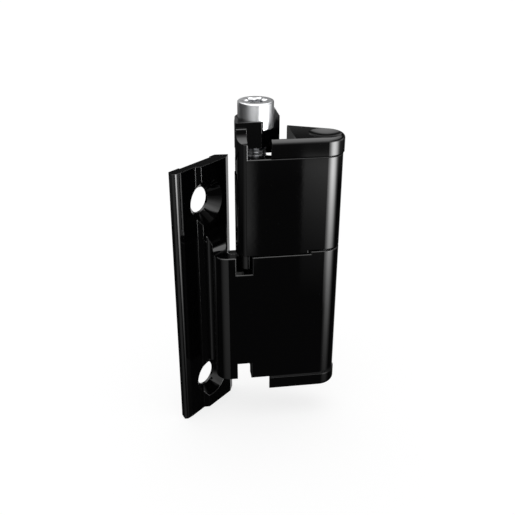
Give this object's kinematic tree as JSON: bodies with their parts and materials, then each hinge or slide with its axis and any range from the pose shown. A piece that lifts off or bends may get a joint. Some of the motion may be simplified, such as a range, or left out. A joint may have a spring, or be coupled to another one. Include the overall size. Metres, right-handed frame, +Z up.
{
  "type": "enclosure door hinge",
  "caption": "Black die-cast enclosure door hinge with a slanted mounting plate, capped barrel and screw-driven clamp block.",
  "frame": {"origin": "middle of the two plate holes on the plate's mounting face", "axes": "+X along the plate towards the door side, +Y out of the mounting face, +Z up along the hinge axis"},
  "size_m": [0.0374, 0.0357, 0.0998],
  "materials": {
    "black_paint": "gloss",
    "cap_plastic": "satin",
    "bright_steel": "satin",
    "pin_steel": "satin",
    "bush_plastic": "matte"
  },
  "bodies": {
    "frame": {"frame_leaf": "black_paint", "hinge_pin": "pin_steel", "thrust_washer": "pin_steel", "retaining_ring": "pin_steel", "cap_lower": "cap_plastic"},
    "door": {"door_leaf": "black_paint", "bush_lower": "bush_plastic", "bush_upper": "bush_plastic", "cap_upper": "cap_plastic"},
    "clamp": {"clamp_block": "black_paint"},
    "screw": {"clamp_screw": "bright_steel"}
  },
  "joints": [
    {"name": "door_swing", "type": "hinge", "parent": "frame", "child": "door", "pos_m": [0.0204, -0.0302, 0.0159], "axis": [0, 0, 1], "range_deg": [0, 180]},
    {"name": "clamp_slide", "type": "slide", "parent": "door", "child": "clamp", "axis": [0, 0, -1], "range_m": [0, 0.0013]},
    {"name": "screw_turn", "type": "hinge", "parent": "clamp", "child": "screw", "pos_m": [0.00986, -0.01429, 0.0449], "axis": [0, 0, -1], "range_deg": [0, 480]}
  ],
  "couplings": [
    {"joint": "screw_turn", "follows": "clamp_slide", "rad_per_m": 6283.2}
  ]
}
